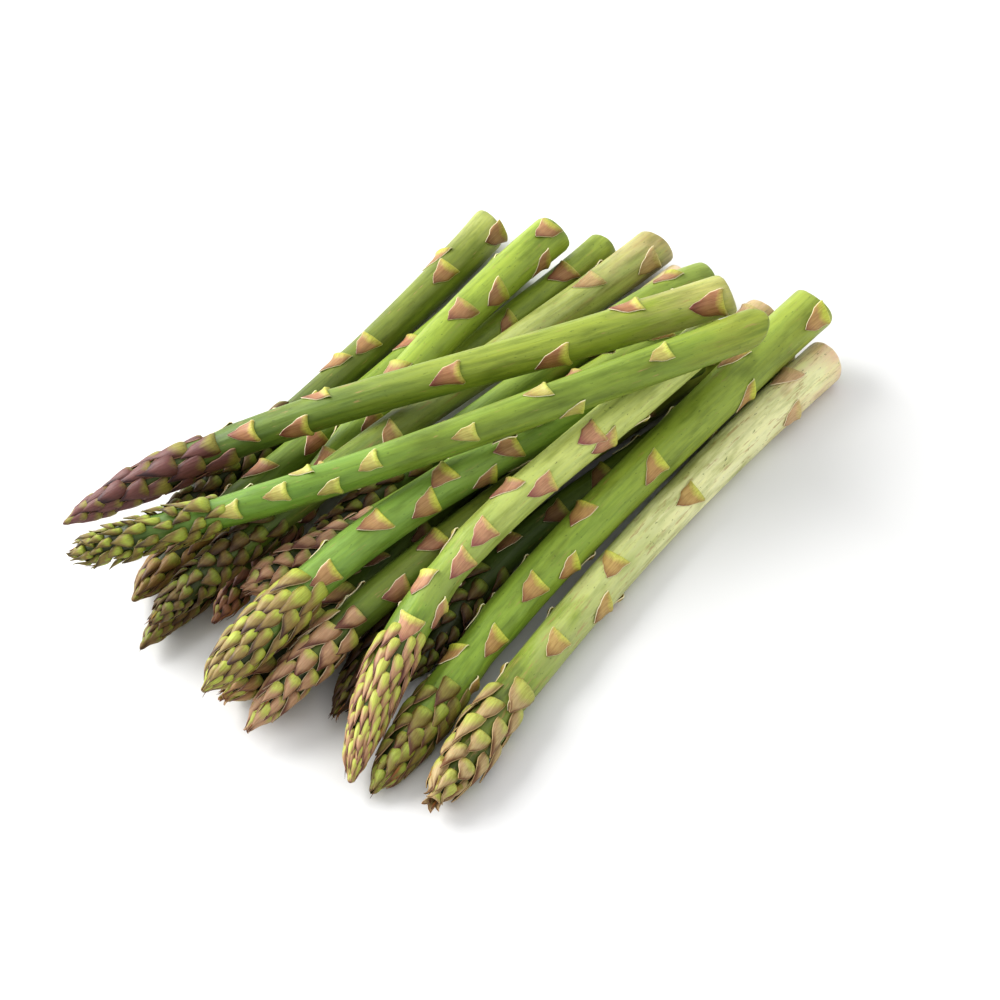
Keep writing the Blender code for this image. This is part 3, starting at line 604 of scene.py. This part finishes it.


# scale leaves: a yellow-green lip at the root, a dry pinkish blade with fine veins, painted shade towards the
# sides, thin pale edges
def leafSkin(name, tones, edgeTone, finish, lipTo=0.30, husk=0, huskTone=leafTones["husk"]):
    skin, tree, shader = newSkin(name + "_" + finish)
    way = leafFinish[finish]
    lip, blade, point = [toLinear(tone) for tone in tones]
    place = addNode(tree, "ShaderNodeAttribute", {"attribute_name": "stalkPlace"}).outputs["Vector"]
    up = addNode(tree, "ShaderNodeAttribute", {"attribute_name": "leafUp"}).outputs["Fac"]
    side = addNode(tree, "ShaderNodeAttribute", {"attribute_name": "leafSide"}).outputs["Fac"]
    draw = addNode(tree, "ShaderNodeAttribute", {"attribute_name": "leafDraw"}).outputs["Fac"]
    vein = grainNoise(tree, place, "vein", 3.0, 0.6)
    blotch = grainNoise(tree, place, "speck", 2.0)
    lean = addNode(tree, "ShaderNodeMath",
                   {"operation": "MULTIPLY_ADD", 1: way["wander"], 2: -way["wander"] / 2}, {0: draw})
    ragged = addNode(tree, "ShaderNodeMath", {"operation": "MULTIPLY_ADD", 1: 0.16, 2: -0.08}, {0: blotch})
    sidewards = addNode(tree, "ShaderNodeMath", {"operation": "MULTIPLY_ADD", 1: way["sidewards"]},
                        {0: side, 2: up})
    first = addNode(tree, "ShaderNodeMath", {"operation": "ADD"},
                    {0: sidewards.outputs[0], 1: lean.outputs[0]})
    spot = addNode(tree, "ShaderNodeMath", {"operation": "ADD"},
                   {0: first.outputs[0], 1: ragged.outputs[0]})
    stops = ((0.12, lip), (0.34, blade), (0.60, blade), (0.98, point))
    if finish == "budScale":
        stops = ((lipTo, lip), (lipTo + 0.25, blade), (0.74, blade), (1.0, point))
    body = addNode(tree, "ShaderNodeValToRGB", {"stops": stops}, {"Fac": spot.outputs[0]})
    along = addNode(tree, "ShaderNodeAttribute", {"attribute_name": "alongStalk"}).outputs["Fac"]
    dry = addNode(tree, "ShaderNodeValToRGB", {"stops": ((0.10, grey(husk)), (0.28, grey(0)))},
                  {"Fac": along})
    husked = addNode(tree, "ShaderNodeMix", {"data_type": "RGBA", 7: toLinear(huskTone)},
                     {0: dry.outputs["Color"], 6: body.outputs["Color"]})
    veins = addNode(tree, "ShaderNodeValToRGB", {"stops": ((0.35, grey(0.40)), (0.6, grey(0)))},
                    {"Fac": vein})
    veined = addNode(tree, "ShaderNodeMix",
                     {"data_type": "RGBA", "blend_type": "MULTIPLY", 7: toLinear(leafTones["vein"])},
                     {0: veins.outputs["Color"], 6: husked.outputs[2]})
    # painted shade: the sides darken as they curve away from the light, most between the close head scales
    sideShade = addNode(tree, "ShaderNodeValToRGB", {"stops": ((0.50, grey(0)), (0.90, grey(way["sideShading"])))},
                   {"Fac": side})
    sideShaded = addNode(tree, "ShaderNodeMix",
                     {"data_type": "RGBA", "blend_type": "MULTIPLY", 7: toLinear(leafTones["sideShade"])},
                     {0: sideShade.outputs["Color"], 6: veined.outputs[2]})
    rim = addNode(tree, "ShaderNodeValToRGB", {"stops": ((0.93, grey(0)), (1.0, grey(0.8)))}, {"Fac": side})
    edged = addNode(tree, "ShaderNodeMix", {"data_type": "RGBA", 7: toLinear(edgeTone)},
                    {0: rim.outputs["Color"], 6: sideShaded.outputs[2]})
    bump = addNode(tree, "ShaderNodeBump", {"Strength": 0.5, "Distance": 0.0003}, {"Height": vein})
    tree.links.new(edged.outputs[2], shader.inputs["Base Color"])
    tree.links.new(bump.outputs["Normal"], shader.inputs["Normal"])
    shader.inputs["Roughness"].default_value = 0.48
    shader.inputs["Specular IOR Level"].default_value = 0.36
    shader.inputs["Subsurface Weight"].default_value = 0.05
    shader.inputs["Subsurface Scale"].default_value = 0.001
    return skin


fleshTones = ("#8b9648", "#adb36a", "#bdbe80")


# fresh cut flesh: pale, moist, with small darker bundles
def cutFlesh():
    skin, tree, shader = newSkin("freshCutFlesh")
    place = addNode(tree, "ShaderNodeAttribute", {"attribute_name": "stalkPlace"}).outputs["Vector"]
    spread = addNode(tree, "ShaderNodeMapping", {"Scale": grain["bundle"]}, {"Vector": place})
    cells = addNode(tree, "ShaderNodeTexVoronoi", {"Scale": 1.0}, {"Vector": spread.outputs["Vector"]})
    heart, between, outer = [toLinear(tone) for tone in fleshTones]
    tones = addNode(tree, "ShaderNodeValToRGB", {"stops": ((0.12, heart), (0.30, between), (0.8, outer))},
                    {"Fac": cells.outputs["Distance"]})
    bump = addNode(tree, "ShaderNodeBump", {"Strength": 0.5, "Distance": 0.0004},
                   {"Height": cells.outputs["Distance"]})
    tree.links.new(tones.outputs["Color"], shader.inputs["Base Color"])
    tree.links.new(bump.outputs["Normal"], shader.inputs["Normal"])
    shader.inputs["Roughness"].default_value = 0.38
    return skin


driedTones = ("#8f8a3c", "#94602f", "#4a2c18")


# dried points: brittle and dull, from yellow-green at the root to dark brown
def driedPoint():
    skin, tree, shader = newSkin("driedBristle")
    place = addNode(tree, "ShaderNodeAttribute", {"attribute_name": "stalkPlace"}).outputs["Vector"]
    up = addNode(tree, "ShaderNodeAttribute", {"attribute_name": "leafUp"}).outputs["Fac"]
    vein = grainNoise(tree, place, "vein")
    spot = addNode(tree, "ShaderNodeMath", {"operation": "MULTIPLY_ADD", 1: 0.4}, {0: vein, 2: up})
    root, half, end = [toLinear(tone) for tone in driedTones]
    tones = addNode(tree, "ShaderNodeValToRGB", {"stops": ((0.2, root), (0.5, half), (1.0, end))},
                    {"Fac": spot.outputs[0]})
    tree.links.new(tones.outputs["Color"], shader.inputs["Base Color"])
    shader.inputs["Roughness"].default_value = 0.6
    return skin


# each copy has a mesh of its own
def copyOf(plain, name, skin):
    mesh = plain.data.copy()
    mesh.materials.clear()
    mesh.materials.append(skin)
    thing = bpy.data.objects.new(name, mesh)
    bpy.context.scene.collection.objects.link(thing)
    return thing


def setSpots(mesh, spots):
    mesh.vertices.foreach_set("co", np.ravel(spots).astype(np.float32))
    mesh.update()


def markPlaces(mesh, stalk, at, angle, radius, draw, side=None, up=None):
    straight = np.stack((radius * np.cos(angle), radius * np.sin(angle), at + 1000 * stalk.row["seed"]), 1)
    giveNumbers(mesh, "stalkPlace", straight, "FLOAT_VECTOR")
    giveNumbers(mesh, "alongStalk", at / stalk.length)
    giveNumbers(mesh, "leafDraw", np.full(len(at), draw))
    if side is not None:
        giveNumbers(mesh, "leafSide", side)
        giveNumbers(mesh, "leafUp", up)


rimRings = (0, 0.25, 0.6, 1.1, 1.8, 2.8)  # distances from the butt of the first rings
rimRounding = (0.86, 0.92, 0.955, 0.98, 0.993, 1)  # and how far each is drawn in
cutForm = dict(fadeOver=9, dish=0.35, uneven=0.35)


def layStalk(plain, stalk, skin, flesh):
    thing = copyOf(plain, stalk.name + "_skin", skin)
    mesh = thing.data
    mesh.materials.append(flesh)
    flat = spotsOf(mesh)
    angle = np.arctan2(flat[:, 1], flat[:, 0])
    rho = np.hypot(flat[:, 0], flat[:, 1])
    rings = plainStalkForm["rings"]
    table = np.concatenate((rimRings, np.linspace(rimRings[-1], stalk.length, rings + 2 - len(rimRings))[1:]))
    at = np.interp(flat[:, 2] * rings, np.arange(rings + 1), table)
    slant, towards = stalk.look["cut"]
    facing = (1 + np.cos(angle - math.radians(towards)) * rho) / 2
    shift = slant * facing * np.clip(1 - at / (slant + cutForm["fadeOver"]), 0, 1)
    dish = np.where(rho < 0.98, cutForm["dish"] * (1 - rho ** 2) * (at < 0.01), 0)
    at = at + shift + dish
    rounding = np.interp(flat[:, 2] * rings, range(len(rimRounding)), rimRounding)
    rounding = rounding + (1 - rounding) * cutForm["uneven"] * np.sin(3 * angle + stalk.phase[3])
    radius = stalk.skin(at, angle) * np.minimum(rho, 1) * rounding
    setSpots(mesh, stalk.place(at, angle, radius - stalk.skin(at, angle)))
    markPlaces(mesh, stalk, at, angle, radius, 0.5, np.zeros(len(at)), np.zeros(len(at)))
    for face in mesh.polygons:
        corners = [flat[index] for index in face.vertices]
        inButt = all(corner[2] < 0.0001 for corner in corners)
        face.material_index = 1 if inButt else 0
    return thing


# tear: how far a leaf's outline wanders; openPower: how late it bends outwards
leafPlay = dict(tear=0.14, tearWaves=8, openPower=1.6, rootShare=0.1)


def layLeaf(plain, stalk, at, turn, long, halfWide, skin, lift=1.0, openBy=0.0, skew=0.0, draw=0.5,
            liftAll=0.0):
    thing = copyOf(plain, stalk.name + "_leaf", skin)
    flat = spotsOf(thing.data)
    up = flat[:, 1]
    radius = stalk.skin(np.array([at]), np.array([turn]))[0]
    horn = leafForm[plain.name]["horn"] * halfWide / leafSizes["stalkHalf"][0]
    where = at + up * long - horn * flat[:, 0] ** 2 * (1 - up) ** 2
    waves = np.sin(leafPlay["tearWaves"] * up + 40 * draw + 2 * flat[:, 0])
    torn = 1 + leafPlay["tear"] * waves * np.clip(up * 2, 0, 1)
    angle = turn + (flat[:, 0] * torn + skew * up ** 2) * halfWide / radius
    height = flat[:, 2] * lift + liftAll * np.clip(up / leafPlay["rootShare"], 0, 1)
    height = height + openBy * up ** leafPlay["openPower"]
    setSpots(thing.data, stalk.place(where, angle, height))
    markPlaces(thing.data, stalk, where, angle, radius + height, draw)
    return thing


def layBristle(plain, stalk, at, turn, long, thick, lean, skin):
    thing = copyOf(plain, stalk.name + "_bristle", skin)
    flat = spotsOf(thing.data)
    up = flat[:, 2]
    radius = stalk.skin(np.array([at]), np.array([turn]))[0]
    where = at + up * long
    angle = turn + flat[:, 0] * thick / max(radius, 1.5)
    height = flat[:, 1] * thick + 0.8 + lean * up ** 1.5
    setSpots(thing.data, stalk.place(where, angle, height, free=True))
    markPlaces(thing.data, stalk, where, angle, radius + height, 0.5, np.zeros(len(up)), up)
    return thing


goldenAngle = math.radians(137.5)
wideGap = 11  # mm between seen leaves from which one more grows on the far side
neckStep = 5  # mm between the leaves below the close scales of a head


# leaves seen in the photo, one on the far side of each wide gap, and those below the close scales
def stalkLeafPlaces(stalk):
    seen = sorted(stalk.row["leaves"])
    places = []
    for index, (at, turn) in enumerate(seen):
        if at > stalk.headFrom - 1:
            continue
        places.append((at, math.radians(turn)))
        nextAt = seen[index + 1][0] if index + 1 < len(seen) else stalk.headFrom
        if nextAt - at > wideGap:
            between = at + (nextAt - at) * stalk.dice.uniform(0.4, 0.6)
            places.append((between, math.radians(turn + stalk.dice.uniform(150, 210))))
    for step in range(int(stalk.look.get("budsFrom", 0) / neckStep)):
        places.append((stalk.headFrom + neckStep * step, goldenAngle * step))
    return places


leafSizes = dict(stalkLong=(10.0, 8.8), stalkHalf=(4.1, 3.6))

# pitch: distance between scales at the head's foot, and how much closer they come towards the tip
# wideFrom: half width from which a scale is a foot leaf; flare: how far an open tip's scales stand out
headForm = dict(startBack=6, stopBefore=1.2, pitch=2.6, pitchLoss=1.9, pitchPower=0.6, wideFrom=3.1,
                flare=3.2, turnPlay=0.16)


# distances at which the head's leaves sit: close behind each other, closer still to the tip
def headLeafPlaces(stalk):
    places = []
    at = stalk.headFrom - headForm["startBack"] + stalk.look.get("budsFrom", 0)
    while at < stalk.length - headForm["stopBefore"]:
        places.append(at)
        within = min(max((at - stalk.headFrom) / stalk.headLong, 0), 1)
        pitch = headForm["pitch"] - headForm["pitchLoss"] * within ** headForm["pitchPower"]
        at += pitch * stalk.look["gap"]
    return places


def growSpear(stalk, plain, skins):
    dice = stalk.dice
    parts = []
    stalkPlaces = stalkLeafPlaces(stalk)
    size = stalk.look.get("leafSize", 1)
    longs = leafSizes["stalkLong"]
    halves = leafSizes["stalkHalf"]
    for at, turn in stalkPlaces:
        stalk.knuckles.append((at, turn, halves[0] * size))
    parts.append(layStalk(plain["stalk"], stalk, skins["stalk"], skins["flesh"]))
    for at, turn in stalkPlaces:
        down = at / stalk.headFrom
        long = (longs[0] + (longs[1] - longs[0]) * down) * size
        half = (halves[0] + (halves[1] - halves[0]) * down) * size
        parts.append(layLeaf(plain["stalkLeaf"], stalk, at, turn, long * dice.uniform(0.88, 1.1),
                             half * dice.uniform(0.88, 1.08), skins["leaf"], skew=dice.uniform(-0.7, 0.7),
                             openBy=dice.uniform(0, 0.35), draw=dice.random()))
    turn = dice.uniform(0, 2 * math.pi)
    opening = stalk.row["head"][2]
    places = headLeafPlaces(stalk)
    ragged = stalk.look["ragged"]
    flare = headForm["flare"] * stalk.look.get("openEnd", 0)
    budHalf = stalk.look["budHalf"]
    budLong = stalk.look["budLong"]
    for at in places:
        turn += goldenAngle
        within = min(max((at - stalk.headFrom) / stalk.headLong, 0), 1)
        long = budLong[0] + (budLong[1] - budLong[0]) * within
        half = budHalf[0] + (budHalf[1] - budHalf[0]) * within
        kind = "footLeaf" if half > headForm["wideFrom"] else "budLeaf"
        stray = 0.5 * opening + 0.8 * ragged
        parts.append(layLeaf(plain[kind], stalk, at,
                             turn + dice.uniform(-headForm["turnPlay"], headForm["turnPlay"]),
                             long * dice.uniform(0.86 - 0.3 * ragged, 1.16),
                             half * dice.uniform(0.85 - 0.3 * ragged, 1.1), skins["bud"],
                             lift=(0.34 + 0.16 * half) * dice.uniform(0.85, 1.2),
                             openBy=stray * dice.uniform(0.1, 1.2) + flare * within ** 2,
                             liftAll=dice.uniform(-0.15, 0.25) + ragged * dice.uniform(-0.4, 0.9),
                             skew=dice.uniform(-0.35, 0.35) * (1 + 2 * ragged), draw=dice.random()))
    pointLong, pointThick = stalk.look.get("points", (6.0, 0.38))
    for _each in range(stalk.look["bristles"]):
        at = stalk.length - dice.uniform(0.04, 0.22) * stalk.headLong
        parts.append(layBristle(plain["bristle"], stalk, at, dice.uniform(0, 2 * math.pi),
                                pointLong * dice.uniform(0.8, 1.3), pointThick, dice.uniform(-0.6, 2.6),
                                skins["dried"]))
    bpy.ops.object.select_all(action="DESELECT")
    for part in parts:
        part.select_set(True)
    bpy.context.view_layer.objects.active = parts[0]
    bpy.ops.object.join()
    spear = bpy.context.object
    spear.name = stalk.name + "_grown"
    spear.data.name = spear.name
    return spear


print("plain shapes")
plainShapes = dict(stalk=modelPlainStalk(), stalkLeaf=modelLeaf("stalkLeaf"), footLeaf=modelLeaf("footLeaf"),
                   budLeaf=modelLeaf("budLeaf"), bristle=modelBristle())
for shape in plainShapes.values():
    shape.select_set(False)

print("settling the pile")
lines = settledLines()

print("growing the stalks")
flesh = cutFlesh()
dried = driedPoint()
allTriangles = 0
for name in stalks:
    stalk = Stalk(name, lines[name])
    look = stalk.look
    headShare = min((stalk.headFrom + look.get("budsFrom", 0)) / stalk.length, 0.85)
    skins = dict(stalk=stalkSkin(name, look, headShare), flesh=flesh, dried=dried,
                 leaf=leafSkin(name, look["leaf"], leafTones["paleRim"], "paperyScale",
                               husk=look.get("husk", 0), huskTone=look["skin"][0]),
                 bud=leafSkin(name, look["head"], look["edge"], "budScale", look.get("lipTo", 0.30)))
    spear = growSpear(stalk, plainShapes, skins)
    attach(spear, "root")
    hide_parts(name)
    triangles = sum(len(face.vertices) - 2 for face in spear.data.polygons)
    allTriangles += triangles
    print(name, "triangles", triangles)
print("all triangles", allTriangles)
for shape in plainShapes.values():
    mesh = shape.data
    bpy.data.objects.remove(shape, do_unlink=True)
    bpy.data.meshes.remove(mesh)


# pale floor, soft light and the photo's camera
studio = dict(floor="#dcdcdc", floorSize=6.0, world=0.92, keyPlace=(-0.85, 0.36, 0.60), keySize=0.9,
              keyPower=18.0, cameraPlace=(0.0094, -0.4867, 0.4993), cameraTilt=44.0, lens=85.0)
print("floor, light and camera")
bpy.ops.mesh.primitive_plane_add(size=studio["floorSize"], location=(0, 0, 0))
floor = bpy.context.object
floor.name = "paleFloor"
# pale matte paint: it takes the soft shadows and shows no shine
paint, _floorTree, floorShader = newSkin("mattePaleFloor")
floorShader.inputs["Base Color"].default_value = toLinear(studio["floor"])
floorShader.inputs["Roughness"].default_value = 0.9
floorShader.inputs["Specular IOR Level"].default_value = 0.1
floor.data.materials.append(paint)

bpy.ops.object.light_add(type="AREA", location=studio["keyPlace"])
key = bpy.context.object
key.name = "keyLight"
key.data.size = studio["keySize"]
key.data.energy = studio["keyPower"]
aim = -np.array(studio["keyPlace"])
key.rotation_euler = (math.acos(-aim[2] / np.linalg.norm(aim)), 0, math.atan2(aim[1], aim[0]) - math.pi / 2)

# even light from all round, as in a white tent
world = bpy.data.worlds.new("softRoom")
bpy.context.scene.world = world
world.use_nodes = True
world.node_tree.nodes["Background"].inputs["Color"].default_value = (1, 1, 1, 1)
world.node_tree.nodes["Background"].inputs["Strength"].default_value = studio["world"]

bpy.ops.object.camera_add(location=studio["cameraPlace"], rotation=(math.radians(studio["cameraTilt"]), 0, 0))
camera = bpy.context.object
camera.data.lens = studio["lens"]
camera.data.sensor_width = 36
bpy.context.scene.camera = camera
bpy.context.scene.view_settings.view_transform = "Standard"
bpy.context.scene.view_settings.look = "Medium High Contrast"
